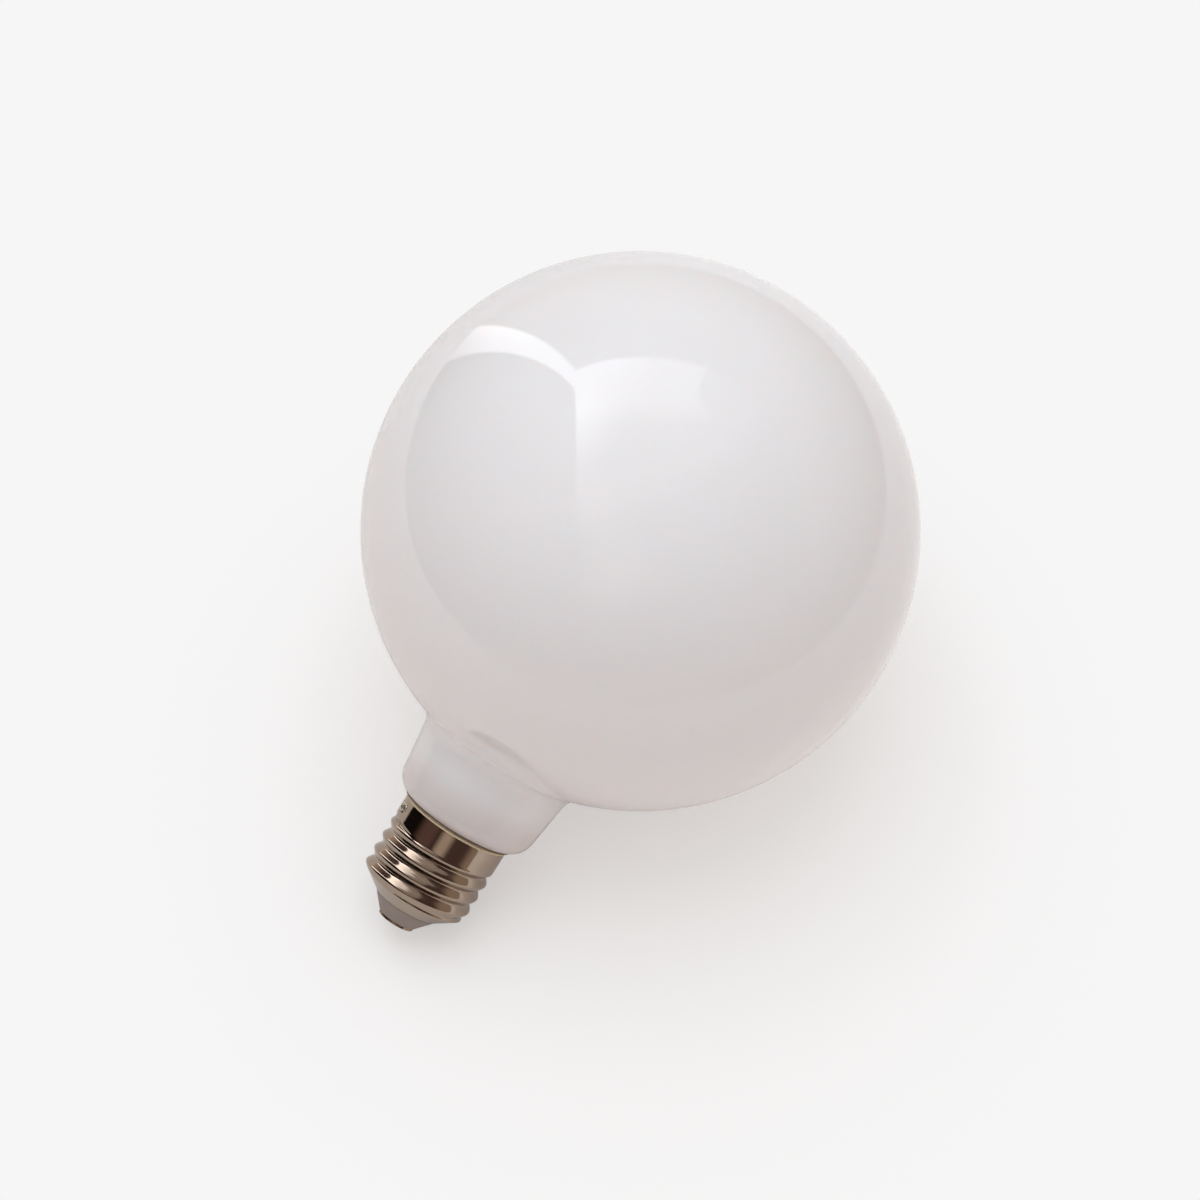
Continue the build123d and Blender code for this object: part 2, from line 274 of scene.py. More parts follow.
# %% Thread form as a formula
PITCH = 3.629
CREST_RADIUS = 13.1
THREAD_DEPTH = 1.0
FLANK_BEND = 3.6
LEAD_IN = 1.63
CONE_HALF_ANGLE = math.radians(53.5)
INSULATOR_HALF_ANGLE = math.radians(40.0)
TIP_MARGIN = 0.1
SHEET = 0.3
COLLAR_LENGTH = 4.9
LIP_LENGTH = 1.5
COLLAR_RADIUS = 12.95
CONE_BLEND = 0.22
RUN_OUT_START = 0.6
RUN_OUT_BEARING = math.radians(222)
RUN_OUT_SPREAD = math.radians(65)
RUN_OUT_RISE = 0.75
RUN_OUT_LENGTH = 0.95

tip_height = insulator_low.z / MM
contact_radius = contact_high.x / MM
tip_radius = contact_radius + TIP_MARGIN
mouth_radius = tip_radius + (mouth_height - tip_height) * math.tan(INSULATOR_HALF_ANGLE)
mouth_inner = mouth_radius - SHEET / math.cos(CONE_HALF_ANGLE)
cone_slope = math.tan(CONE_HALF_ANGLE)
crest_start = mouth_height - LEAD_IN
collar_top = lip_top - LIP_LENGTH
thread_top = collar_top - COLLAR_LENGTH
steepest = math.degrees(math.atan(2 * THREAD_DEPTH / PITCH * (FLANK_BEND + 1) / FLANK_BEND))
print("mouth radius %.2f, thread top %.2f, collar top %.2f mm" % (mouth_radius, thread_top, collar_top))
print("thread flank, at its steepest: %.1f degrees" % steepest)


def smooth_step(value, low, high):
    """0 below low, 1 above high, and an even turn between."""
    share = min(1.0, max(0.0, (value - low) / (high - low)))
    return share * share * (3 - 2 * share)


def thread_radius(turn, height):
    """The rolled thread's radius: round crest and root, and a flank that bends all the way."""
    phase = (height - crest_start) / PITCH - turn / (2 * math.pi)
    away = 2 * abs(phase - round(phase))
    from_middle = 2 * away - 1
    bend = math.copysign(abs(from_middle) ** (FLANK_BEND + 1), from_middle)
    drop = (away - (bend + 1) / (2 * (FLANK_BEND + 1))) * (FLANK_BEND + 1) / FLANK_BEND
    return CREST_RADIUS - THREAD_DEPTH * drop


def run_out(turn):
    """How much of the last groove is left: 1 on its own bearing, 0 where it has run out."""
    away = (turn - RUN_OUT_BEARING + math.pi) % (2 * math.pi) - math.pi
    return max(0.0, 1 - (away / RUN_OUT_SPREAD) ** 2)


def shell_radius(turn, height):
    """The shell's outer radius from its mouth to just above the thread."""
    thread = thread_radius(turn, height)
    fade = thread_top - RUN_OUT_START + RUN_OUT_RISE * run_out(turn)
    thread += (COLLAR_RADIUS - thread) * smooth_step(height, fade, fade + RUN_OUT_LENGTH)
    cone = mouth_radius + (height - mouth_height) * cone_slope
    gap = thread - cone
    if abs(gap) < CONE_BLEND:
        return min(thread, cone) - (CONE_BLEND - abs(gap)) ** 2 / (4 * CONE_BLEND)
    return min(thread, cone)


# %% [markdown]
# The shell's threaded wall
#
# On the real cap this is the rolled part of the sheet, from the open mouth at the tip up to the
# plain collar. Level rings would be simpler, but they cut the crests at a slant and leave steps in
# the highlights, so the rows climb one pitch in each turn.

# %% Make the threaded wall
SHELL_COLUMNS = 380
ROWS_PER_PITCH = 42
GRID_MARGIN = 1.3
PINCH = 0.4

grid_top = thread_top + GRID_MARGIN
row_rise = PITCH / ROWS_PER_PITCH
first_row = -ROWS_PER_PITCH
last_row = math.ceil((grid_top - mouth_height) / row_rise)

shell_mesh = bmesh.new()


def shell_ring(radius, height, lift=None):
    """A level ring of vertices; lift may raise or lower each by a wander of the cut edge."""
    ring = []
    for column in range(SHELL_COLUMNS):
        turn = 2 * math.pi * column / SHELL_COLUMNS
        up = height + (lift(turn) if lift else 0)
        ring.append(shell_mesh.verts.new(around_axis(turn, radius, up)))
    return ring


def join_rings(lower, upper):
    """Faces between two rings of equal count."""
    for column in range(SHELL_COLUMNS):
        after = (column + 1) % SHELL_COLUMNS
        shell_mesh.faces.new((lower[column], lower[after], upper[after], upper[column]))


bottom_ring = shell_ring(mouth_radius, mouth_height)
top_ring = shell_ring(COLLAR_RADIUS, grid_top)
climbing = {}


def grid_vertex(column, row):
    """The vertex of a climbing row, or the end ring's where the row would come too near the end."""
    around, column = divmod(column, SHELL_COLUMNS)
    row += around * ROWS_PER_PITCH
    turn = 2 * math.pi * column / SHELL_COLUMNS
    height = mouth_height + row * row_rise + PITCH * turn / (2 * math.pi)
    if height < mouth_height + PINCH * row_rise:
        return bottom_ring[column]
    if height > grid_top - PINCH * row_rise:
        return top_ring[column]
    if (column, row) not in climbing:
        radius = shell_radius(turn, height)
        climbing[column, row] = shell_mesh.verts.new(around_axis(turn, radius, height))
    return climbing[column, row]


for column in range(SHELL_COLUMNS):
    for row in range(first_row - ROWS_PER_PITCH, last_row + ROWS_PER_PITCH):
        corners = [grid_vertex(column, row), grid_vertex(column + 1, row)]
        corners += [grid_vertex(column + 1, row + 1), grid_vertex(column, row + 1)]
        corners = list(dict.fromkeys(corners))
        if len(corners) > 2:
            shell_mesh.faces.new(corners)
print("threaded wall: %d rows of vertices in a pitch, %d faces" % (ROWS_PER_PITCH, len(shell_mesh.faces)))

# %% [markdown]
# The collar, the lip and the shell's inside
#
# Above the thread the sheet stays a plain drawn cylinder, and its trimmed edge is turned out to a
# short flange that the glass shoulder sits on. A Solidify modifier could give the wall, but it
# would follow the thread inwards too, so level rings go up the outside, over the rim and down a
# plain inside.

# %% Close the shell with its collar, its lip and its inside
EDGE_WANDER = 0.05
EDGE_WAVES = 4.0
FLARE_LENGTH = 0.65
FLARE_BEND = 1.9
FLARE_STEPS = 12
COLLAR_STEPS = 8
RIM = 0.18
RIM_RISE = 0.1
INNER_STEP = 3
INNER_BEND = 0.3
CORE_DROP = 0.5


def cut_edge(turn):
    """The lip was trimmed by a wheel, which leaves it a few hundredths uneven."""
    place = Vector((EDGE_WAVES * math.cos(turn), EDGE_WAVES * math.sin(turn), 0.5))
    return -EDGE_WANDER * abs(noise.noise(place))


flare = lip_radius - COLLAR_RADIUS
flare_start = lip_top - RIM_RISE - FLARE_LENGTH
flare_rings = []
for step in range(FLARE_STEPS + 1):
    share = step / FLARE_STEPS
    flare_rings.append((COLLAR_RADIUS + flare * share**FLARE_BEND, flare_start + FLARE_LENGTH * share))
collar_rise = flare_start - grid_top
collar_rings = [
    (COLLAR_RADIUS, grid_top + collar_rise * step / COLLAR_STEPS) for step in range(1, COLLAR_STEPS)
]
outer_rings = collar_rings + flare_rings
rim_rings = arc((lip_radius - RIM / 2, lip_top - RIM / 2), RIM / 2, 10, 180, 8)
core_inner = CREST_RADIUS - THREAD_DEPTH - SHEET
inner_rings = [(radius - SHEET, height) for radius, height in flare_rings[-INNER_STEP:0:-INNER_STEP]]
inner_rings += [
    (COLLAR_RADIUS - SHEET, flare_start - INNER_BEND),
    (COLLAR_RADIUS - SHEET, thread_top),
    (core_inner, thread_top - CORE_DROP),
    (core_inner, mouth_height + (core_inner - mouth_inner) / cone_slope),
    (mouth_inner, mouth_height),
]

last = top_ring
for rings, lift in ((outer_rings, None), (rim_rings, cut_edge), (inner_rings, None)):
    for radius, height in rings:
        ring = shell_ring(radius, height, lift)
        join_rings(last, ring)
        last = ring
join_rings(last, bottom_ring)

rolled_shell = new_piece("rolled_shell", shell_mesh)
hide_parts("screw_shell")

# %% [markdown]
# The insulator and the centre contact
#
# A moulded cone keeps the contact apart from the shell, and a stamped disc is the contact. The
# disc's plain solid looks right as it is. The insulator could stay plain too, but every moulded
# edge is a little round and catches the light, so its profile is turned again here with a round
# tip and a parting line just inside the shell's mouth.

# %% Make the insulator
TIP_ROUNDING = 0.6
SEAT_INSET = 0.02
PARTING_LINE = 0.03

CUP_RADIUS = 4.0
BORE_RADIUS = 1.75
FLOOR = 2.5
RIM_WALL = 2.2
RIM_CHAMFER = 0.1
SEAT_RISE = 0.4
INSULATOR_COLUMNS = 192

rim_height = insulator_high.z / MM
seat_radius = insulator_high.x / MM
floor_height = tip_height + FLOOR
rim_inner = seat_radius - RIM_WALL
tip_reach = TIP_ROUNDING * math.tan((math.pi / 2 - INSULATOR_HALF_ANGLE) / 2)
tip_centre = (tip_radius - tip_reach, tip_height + TIP_ROUNDING)
cone_end = (mouth_radius - PARTING_LINE, mouth_height - PARTING_LINE)

insulator_profile = [(BORE_RADIUS, tip_height)]
insulator_profile += arc(tip_centre, TIP_ROUNDING, -90, -math.degrees(INSULATOR_HALF_ANGLE), 10)
cone_begin = Vector(insulator_profile[-1])
insulator_profile += [tuple(cone_begin.lerp(Vector(cone_end), step / 16)) for step in range(1, 17)]
insulator_profile += [
    (mouth_inner - SEAT_INSET, mouth_height),
    (seat_radius, rim_height - SEAT_RISE),
    (seat_radius, rim_height - RIM_CHAMFER),
    (seat_radius - RIM_CHAMFER, rim_height),
    (rim_inner, rim_height),
    (CUP_RADIUS, floor_height),
    (BORE_RADIUS, floor_height),
]
moulded_insulator = new_piece("moulded_insulator", spin(insulator_profile, INSULATOR_COLUMNS))
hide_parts("cap_insulator")

# %% [markdown]
# The solder on the collar
#
# The side lead comes out through a small hole and is soldered over. Hand solder is a low lump
# with a lobed outline, pitted where the flux boiled off. A bump map could draw the pits, but
# they show at the collar's outline, so a fine dome of rings is pushed out and in by two scales
# of noise, and the lump and its pits are real geometry.

# %% Make the solder lump
solder_low, solder_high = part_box("side_solder")
solder_middle = (solder_low + solder_high) / 2
SOLDER_BEARING = math.atan2(solder_middle.y, solder_middle.x)
SOLDER_WIDTH = 1.5
SOLDER_TALL = 1.5
SOLDER_HEIGHT = 0.5
SOLDER_SINK = 0.12
SWELL = 0.16
SWELL_SIZE = 0.7
PIT_SIZE = 0.34
PIT_DEPTH = 1.1
PIT_START = 0.12
SOLDER_RINGS = 40
SOLDER_COLUMNS = 72

solder_mesh = bmesh.new()


def solder_vertex(turn, reach, height):
    """A point of the lump: reach from 0 at its middle to 1 at its edge, on the collar's curve."""
    lobes = 1 + 0.1 * math.sin(3 * turn + 0.7) + 0.07 * math.sin(5 * turn + 2.1)
    across = SOLDER_WIDTH * lobes * reach * math.cos(turn)
    up = SOLDER_TALL * lobes * reach * math.sin(turn)
    bearing = SOLDER_BEARING + across / COLLAR_RADIUS
    radius = COLLAR_RADIUS + height
    place = (radius * math.cos(bearing), radius * math.sin(bearing), solder_middle.z / MM + up)
    return solder_mesh.verts.new(Vector(place) * MM)


def solder_rise(turn, reach):
    """How far the lump stands out there, with its pits."""
    place = Vector((reach * math.cos(turn) * SOLDER_WIDTH, reach * math.sin(turn) * SOLDER_TALL, 0.3))
    lump = SOLDER_HEIGHT * (1 - reach**2.4) ** 0.6
    swell = SWELL * noise.noise(place / SWELL_SIZE)
    pit = max(0.0, noise.noise(place / PIT_SIZE + Vector((3, 1, 7))) - PIT_START)
    rise = lump * (1 + swell) - PIT_DEPTH * pit * (1 - reach**4) - SOLDER_SINK * reach**8
    return max(-SOLDER_SINK, rise)


last_ring = [solder_vertex(0, 0, solder_rise(0, 0))]
for step in range(1, SOLDER_RINGS + 1):
    reach = step / SOLDER_RINGS
    ring = []
    for column in range(SOLDER_COLUMNS):
        turn = 2 * math.pi * column / SOLDER_COLUMNS
        ring.append(solder_vertex(turn, reach, solder_rise(turn, reach)))
    for column in range(SOLDER_COLUMNS):
        after = (column + 1) % SOLDER_COLUMNS
        corners = [last_ring[column % len(last_ring)], ring[column], ring[after]]
        corners += [last_ring[after % len(last_ring)]]
        solder_mesh.faces.new(list(dict.fromkeys(corners)))
    last_ring = ring
solder_mesh.faces.new(last_ring)

solder_lump = new_piece("solder_lump", solder_mesh)
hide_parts("side_solder")

# %% [markdown]
# How the finishes are written
#
# Each finish below is one material made of nodes. Colours are written as sRGB hex, as a colour
# picker shows them, and turned to linear by one function. One more function adds a node with
# its settings and links, and hands back the output that the next node needs.

# %% Helpers for materials
def hex_colour(text, strength=1.0):
    """A linear RGBA colour from sRGB hex, such as c8b8a0."""
    parts = [int(text[i : i + 2], 16) / 255 for i in (0, 2, 4)]
    linear = [p / 12.92 if p <= 0.04045 else ((p + 0.055) / 1.055) ** 2.4 for p in parts]
    return (*[p * strength for p in linear], 1.0)


def add(tree, kind, inputs=None, out=0, **settings):
    """Adds a node, gives it settings, fills or links its inputs, and returns one output."""
    node = tree.nodes.new(kind)
    for name, value in settings.items():
        setattr(node, name, value)
    for name, value in (inputs or {}).items():
        if isinstance(value, bpy.types.NodeSocket):
            tree.links.new(value, node.inputs[name])
        else:
            node.inputs[name].default_value = value
    return node.outputs[out] if len(node.outputs) else None


def new_material(name):
    """An empty node material and its tree."""
    material = bpy.data.materials.new(name)
    material.use_nodes = True
    material.node_tree.nodes.clear()
    return material, material.node_tree


def wear(material, *names):
    """Gives the material to pieces or to CAD nodes, by name."""
    for name in names:
        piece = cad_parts.get(name) or bpy.data.objects[name]
        piece.data.materials.clear()
        piece.data.materials.append(material)
    print("%s on %s" % (material.name, ", ".join(names)))


# %% [markdown]
# Opal glass
#
# Opal glass is clear glass with a milk-white layer that scatters light inside the wall. The eye
# sees a soft body colour with no hard shadow edge, dimmer and warmer at the neck, where the dark
# inside of the cap is close behind the glass; there the body colour carries painted shade. Over
# it lies a clear and perfectly polished surface that mirrors the room weakly. Plain white under a
# gloss would look alike in front, but its shadow side would be too dark, so subsurface scattering
# gives the first, and a low roughness with the usual IOR of glass the second.

# %% Opal glass material
# Heights along the axis where the painted neck shade begins and is full
NECK_SHADE_START = 32.0
NECK_SHADE_END = 40.0


def opal_glass():
    material, tree = new_material("opal_glass")
    coordinates = add(tree, "ShaderNodeTexCoord", out="Object")
    cloud_size = 30 * MM
    cloud = add(tree, "ShaderNodeTexNoise", {"Vector": coordinates, "Scale": 1 / cloud_size, "Detail": 2.0})
    body = add(
        tree,
        "ShaderNodeMix",
        {"Factor": cloud, "A": hex_colour("ecebed"), "B": hex_colour("eae9eb")},
        out=2,
        data_type="RGBA",
    )
    along = add(tree, "ShaderNodeSeparateXYZ", {"Vector": coordinates}, out=2)
    # Painted shade: the body colour turns dimmer and warmer over the neck, towards the cap
    neck_shade = add(
        tree,
        "ShaderNodeMapRange",
        {"Value": along, "From Min": NECK_SHADE_END * MM, "From Max": NECK_SHADE_START * MM},
        interpolation_type="SMOOTHSTEP",
    )
    body = add(
        tree,
        "ShaderNodeMix",
        {"Factor": neck_shade, "A": body, "B": hex_colour("e0d5d4")},
        out=2,
        data_type="RGBA",
    )
    dust = add(tree, "ShaderNodeTexNoise", {"Vector": coordinates, "Scale": 1 / (0.9 * MM), "Detail": 3.0})
    bump = add(tree, "ShaderNodeBump", {"Height": dust, "Strength": 0.02, "Distance": 0.02 * MM})
    surface = add(
        tree,
        "ShaderNodeBsdfPrincipled",
        {
            "Base Color": body,
            "Roughness": 0.014,
            "IOR": 1.5,
            "Subsurface Weight": 0.85,
            "Subsurface Radius": (1.0, 0.82, 0.74),
            "Subsurface Scale": 50 * MM,
            "Normal": bump,
        },
    )
    add(tree, "ShaderNodeOutputMaterial", {"Surface": surface})
    return material


wear(opal_glass(), "opal_bulb", "glass_globe")

# %% [markdown]
# Nickel plate on rolled brass
#
# Lamp caps are barrel plated with nickel, which is warmer and darker than chrome. The plate
# copies the rolled sheet under it, so reflections are smeared a little around the axis by fine
# tool lines. The eye sees near-black and near-white side by side, with a brown cast. A picture of
# reflections could be painted on, but it would stand still as the view moves, so the metal is
# left to mirror the room, and only its colour, tarnish and fine lines are drawn.

# %% Nickel plate material
def nickel_plate():
    material, tree = new_material("nickel_plate")
    coordinates = add(tree, "ShaderNodeTexCoord", out="Object")
    stretched = add(tree, "ShaderNodeMapping", {"Vector": coordinates, "Scale": (1, 1, 14)})
    lines = add(tree, "ShaderNodeTexNoise", {"Vector": stretched, "Scale": 1 / (3 * MM), "Detail": 4.0})
    grain = add(tree, "ShaderNodeTexNoise", {"Vector": coordinates, "Scale": 1 / (0.35 * MM), "Detail": 2.0})
    tarnish = add(tree, "ShaderNodeTexNoise", {"Vector": coordinates, "Scale": 1 / (5 * MM), "Detail": 3.0})
    plate = add(
        tree,
        "ShaderNodeMix",
        {"Factor": tarnish, "A": hex_colour("a08f7f"), "B": hex_colour("a99989")},
        out=2,
        data_type="RGBA",
    )
    height = add(tree, "ShaderNodeMath", {0: lines, 1: grain}, operation="ADD")
    bump = add(tree, "ShaderNodeBump", {"Height": height, "Strength": 0.04, "Distance": 0.02 * MM})
    roughness = add(tree, "ShaderNodeMapRange", {"Value": grain, "To Min": 0.07, "To Max": 0.12})
    surface = add(
        tree,
        "ShaderNodeBsdfPrincipled",
        {"Base Color": plate, "Metallic": 1.0, "Roughness": roughness, "Normal": bump},
    )
    add(tree, "ShaderNodeOutputMaterial", {"Surface": surface})
    return material


wear(nickel_plate(), "rolled_shell", "screw_shell")

# %% [markdown]
# Solder, contact and wire
#
# Solder is a soft grey tin alloy that dulls as it cools. Its spots are near black in the hollows
# of its bump: painted shade and painted dark reflection in the pits. The contact is stamped brass
# with the same nickel as the shell, but duller from handling. The leads are tinned copper wire.
# Each could have a material written out in full, but they differ only in their two colours, in how
# they are spotted and in roughness, so one recipe takes those values.

# %% Solder, contact metal and tinned wire
def spotted_metal(name, bright, dark, spot_size, dark_share, roughness, relief):
    material, tree = new_material(name)
    coordinates = add(tree, "ShaderNodeTexCoord", out="Object")
    spots = add(
        tree,
        "ShaderNodeTexNoise",
        {"Vector": coordinates, "Scale": 1 / (spot_size * MM), "Detail": 5.0},
    )
    share = add(
        tree,
        "ShaderNodeMapRange",
        {"Value": spots, "From Min": 0.5 + dark_share / 2, "From Max": 0.4 + dark_share / 2},
        interpolation_type="SMOOTHSTEP",
    )
    colour = add(
        tree,
        "ShaderNodeMix",
        {"Factor": share, "A": hex_colour(bright), "B": hex_colour(dark)},
        out=2,
        data_type="RGBA",
    )
    bump = add(tree, "ShaderNodeBump", {"Height": spots, "Strength": 0.5, "Distance": relief * MM})
    surface = add(
        tree,
        "ShaderNodeBsdfPrincipled",
        {"Base Color": colour, "Metallic": 1.0, "Roughness": roughness, "Normal": bump},
    )
    add(tree, "ShaderNodeOutputMaterial", {"Surface": surface})
    return material


# The solder's near-black dark colour is painted shade and painted dark reflection in its hollows
solder = spotted_metal(
    "solder", "e6d6c0", "080606", spot_size=0.4, dark_share=0.08, roughness=0.3, relief=0.14
)
wear(solder, "solder_lump", "side_solder")
contact_metal = spotted_metal(
    "contact_metal", "a89880", "5a4c3e", spot_size=1.2, dark_share=0.0, roughness=0.3, relief=0.02
)
wear(contact_metal, "centre_contact", "contact_pin")
tinned_wire = spotted_metal(
    "tinned_wire", "c9c6bf", "8f8a80", spot_size=0.8, dark_share=0.0, roughness=0.28, relief=0.02
)
wear(tinned_wire, "side_lead", "centre_lead", "output_lead_positive", "output_lead_negative")

# %% [markdown]
# Moulded and poured things
#
# The insulator is a filled moulding compound, matt and slightly speckled by its filler. The
# cement is poured and baked, with a powdery face. The sleeve, packages and bodies inside the cap
# are ordinary electronic plastics. They share one recipe: a body colour, flecks of another
# colour at the filler's real size, and a fine grain, each with its own values.

# %% Matt materials from one recipe
def speckled(name, body, fleck, fleck_size, fleck_share, roughness, grain, relief):
    material, tree = new_material(name)
    coordinates = add(tree, "ShaderNodeTexCoord", out="Object")
    flecks = add(
        tree,
        "ShaderNodeTexNoise",
        {"Vector": coordinates, "Scale": 1 / (fleck_size * MM), "Detail": 4.0},
    )
    share = add(
        tree,
        "ShaderNodeMapRange",
        {"Value": flecks, "From Min": 0.72 - fleck_share, "From Max": 0.8 - fleck_share},
        interpolation_type="SMOOTHSTEP",
    )
    colour = add(
        tree,
        "ShaderNodeMix",
        {"Factor": share, "A": hex_colour(body), "B": hex_colour(fleck)},
        out=2,
        data_type="RGBA",
    )
    fine = add(tree, "ShaderNodeTexNoise", {"Vector": coordinates, "Scale": 1 / (grain * MM), "Detail": 3.0})
    bump = add(tree, "ShaderNodeBump", {"Height": fine, "Strength": 0.4, "Distance": relief * MM})
    surface = add(
        tree,
        "ShaderNodeBsdfPrincipled",
        {"Base Color": colour, "Roughness": roughness, "Normal": bump},
    )
    add(tree, "ShaderNodeOutputMaterial", {"Surface": surface})
    return material


compound = speckled(
    "moulded_insulator_compound", "8f837e", "9a8a70",
    fleck_size=0.9, fleck_share=0.1, roughness=0.62, grain=0.3, relief=0.03,
)
wear(compound, "moulded_insulator", "cap_insulator")
cement = speckled(
    "baked_cement", "cdbf9f", "a8967a",
    fleck_size=0.7, fleck_share=0.14, roughness=0.9, grain=0.25, relief=0.08,
)
wear(cement, "capping_cement")
sleeve = speckled(
    "nylon_sleeve", "e8e6df", "dedbd2",
    fleck_size=1.5, fleck_share=0.1, roughness=0.45, grain=0.6, relief=0.02,
)
wear(sleeve, "insulating_sleeve")
package = speckled(
    "epoxy_package", "17181a", "2a2b2d",
    fleck_size=0.3, fleck_share=0.1, roughness=0.5, grain=0.12, relief=0.02,
)
wear(package, "bridge_rectifier", "driver_chip", "chip_resistors")

# %% [markdown]
# Board, capacitor and resistor
#
# These three have a pattern that tells what they are: copper tracks under green lacquer, a dark
# plain sleeve with a bare aluminium end, and a lacquered body with colour rings. Pictures could
# be mapped onto them, but each pattern is simple enough to come from the piece's own
# coordinates, in real millimetres, and stays sharp however near one looks.

# %% Circuit board, capacitor can and resistor body
def circuit_board():
    material, tree = new_material("lacquered_circuit_board")
    coordinates = add(tree, "ShaderNodeTexCoord", out="Object")
    cells = add(
        tree,
        "ShaderNodeTexVoronoi",
        {"Vector": coordinates, "Scale": 1 / (2.6 * MM)},
        feature="DISTANCE_TO_EDGE",
    )
    gaps = add(
        tree,
        "ShaderNodeMapRange",
        {"Value": cells, "From Min": 0.04, "From Max": 0.1},
        interpolation_type="SMOOTHSTEP",
    )
    colour = add(
        tree,
        "ShaderNodeMix",
        {"Factor": gaps, "A": hex_colour("1d4a2c"), "B": hex_colour("2f6b3f")},
        out=2,
        data_type="RGBA",
    )
    bump = add(tree, "ShaderNodeBump", {"Height": gaps, "Strength": 0.5, "Distance": 0.035 * MM})
    surface = add(
        tree,
        "ShaderNodeBsdfPrincipled",
        {"Base Color": colour, "Roughness": 0.35, "Normal": bump},
    )
    add(tree, "ShaderNodeOutputMaterial", {"Surface": surface})
    return material


def banded(name, body, band, first, spacing, count, width, axis, roughness, metallic):
    """A body with count bands of another colour across one axis, in mm."""
    material, tree = new_material(name)
    coordinates = add(tree, "ShaderNodeTexCoord", out="Object")
    along = add(tree, "ShaderNodeSeparateXYZ", {"Vector": coordinates}, out=axis)
    total = None
    for place in range(count):
        inside = add(
            tree,
            "ShaderNodeMath",
            {0: along, 1: (first + spacing * place) * MM, 2: width / 2 * MM},
            operation="COMPARE",
        )
        if total is None:
            total = inside
        else:
            total = add(tree, "ShaderNodeMath", {0: total, 1: inside}, operation="MAXIMUM")
    colour = add(
        tree,
        "ShaderNodeMix",
        {"Factor": total, "A": hex_colour(body), "B": hex_colour(band)},
        out=2,
        data_type="RGBA",
    )
    metal = add(tree, "ShaderNodeMath", {0: total, 1: metallic}, operation="MULTIPLY")
    surface = add(
        tree,
        "ShaderNodeBsdfPrincipled",
        {"Base Color": colour, "Metallic": metal, "Roughness": roughness},
    )
    add(tree, "ShaderNodeOutputMaterial", {"Surface": surface})
    return material


RING_SPACING = 1.2

wear(circuit_board(), "driver_board")
can_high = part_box("smoothing_capacitor")[1]
capacitor_can = banded(
    "capacitor_can", "22262e", "b9bcc0", can_high.z / MM,
    spacing=1, count=1, width=0.5, axis=2, roughness=0.38, metallic=1.0,
)
wear(capacitor_can, "smoothing_capacitor")
body_low, body_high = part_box("fusible_resistor")
resistor_middle = (body_low.x + body_high.x) / 2 / MM
lacquered_resistor = banded(
    "lacquered_resistor", "7fa3a8", "7a3b1e", resistor_middle - 1.5 * RING_SPACING,
    spacing=RING_SPACING, count=4, width=0.5, axis=0, roughness=0.4, metallic=0.0,
)
wear(lacquered_resistor, "fusible_resistor")

# %% [markdown]
# The table
#
# The table is a plain pale round top that the globe and the cap's last thread touch. It could be
# a large plane, but the globe mirrors its edge as a ring, so it is cut where the real one ends.
# The pale tone is partly the table's own, for the camera alone, so the soft shadow stays as pale
# as on a bright sheet. Mirrors see a sheet with painted shade at its left, where the room is dark,
# and painted light at its right, where part of it glows. The light thrown back at the lamp is a
# warm plain sheet's.

# %% Make the table
TABLE_LEAN = (0.463, 0.886)
TABLE_REACH = {"right": 278.0, "left": 385.0, "far": 300.0, "near": 445.0}
TABLE_OWN_TONE = (0.455, 0.44, 0.43)
TABLE_LIGHT = (0.983, 1.010, 1.021)
SHADOW_MIDDLE = -35.0
SHADOW_FADE = (72.0, 125.0)
SIDE_FADE = 60.0
RIGHT_SIDE_LIGHT = 0.35
BACKGROUND = "f6f6f6"

table_up = (TABLE_LEAN[0] * camera_up + TABLE_LEAN[1] * towards_camera).normalized()
table_right = camera_right.normalized()
table_far = table_up.cross(table_right)
touch_point = globe_point - table_up * globe_radius * MM

table_mesh = bmesh.new()
table_half = (
    (TABLE_REACH["right"] + TABLE_REACH["left"]) / 2,
    (TABLE_REACH["far"] + TABLE_REACH["near"]) / 2,
)
table_offset = (
    (TABLE_REACH["right"] - TABLE_REACH["left"]) / 2,
    (TABLE_REACH["far"] - TABLE_REACH["near"]) / 2,
)
table_edge = []
for step in range(180):
    turn = 2 * math.pi * step / 180
    across = (table_offset[0] + table_half[0] * math.cos(turn)) * MM
    along = (table_offset[1] + table_half[1] * math.sin(turn)) * MM
    table_edge.append(table_mesh.verts.new(touch_point + table_right * across + table_far * along))
table_mesh.faces.new(table_edge)
table_data = bpy.data.meshes.new("table")
table_mesh.to_mesh(table_data)
table_mesh.free()
table = bpy.data.objects.new("table", table_data)
bpy.context.scene.collection.objects.link(table)
print("table's up against the lamp's axis: %.3f" % table_up.z)

# %% [markdown]
# The table top's finish
#
# The real top is a smooth, pale and nearly matt board, lit so evenly that only the soft shadow
# shows. One white diffuse shader would do for a room that is built, but here each kind of ray
# needs its own answer, so the light path chooses between three plain shaders.

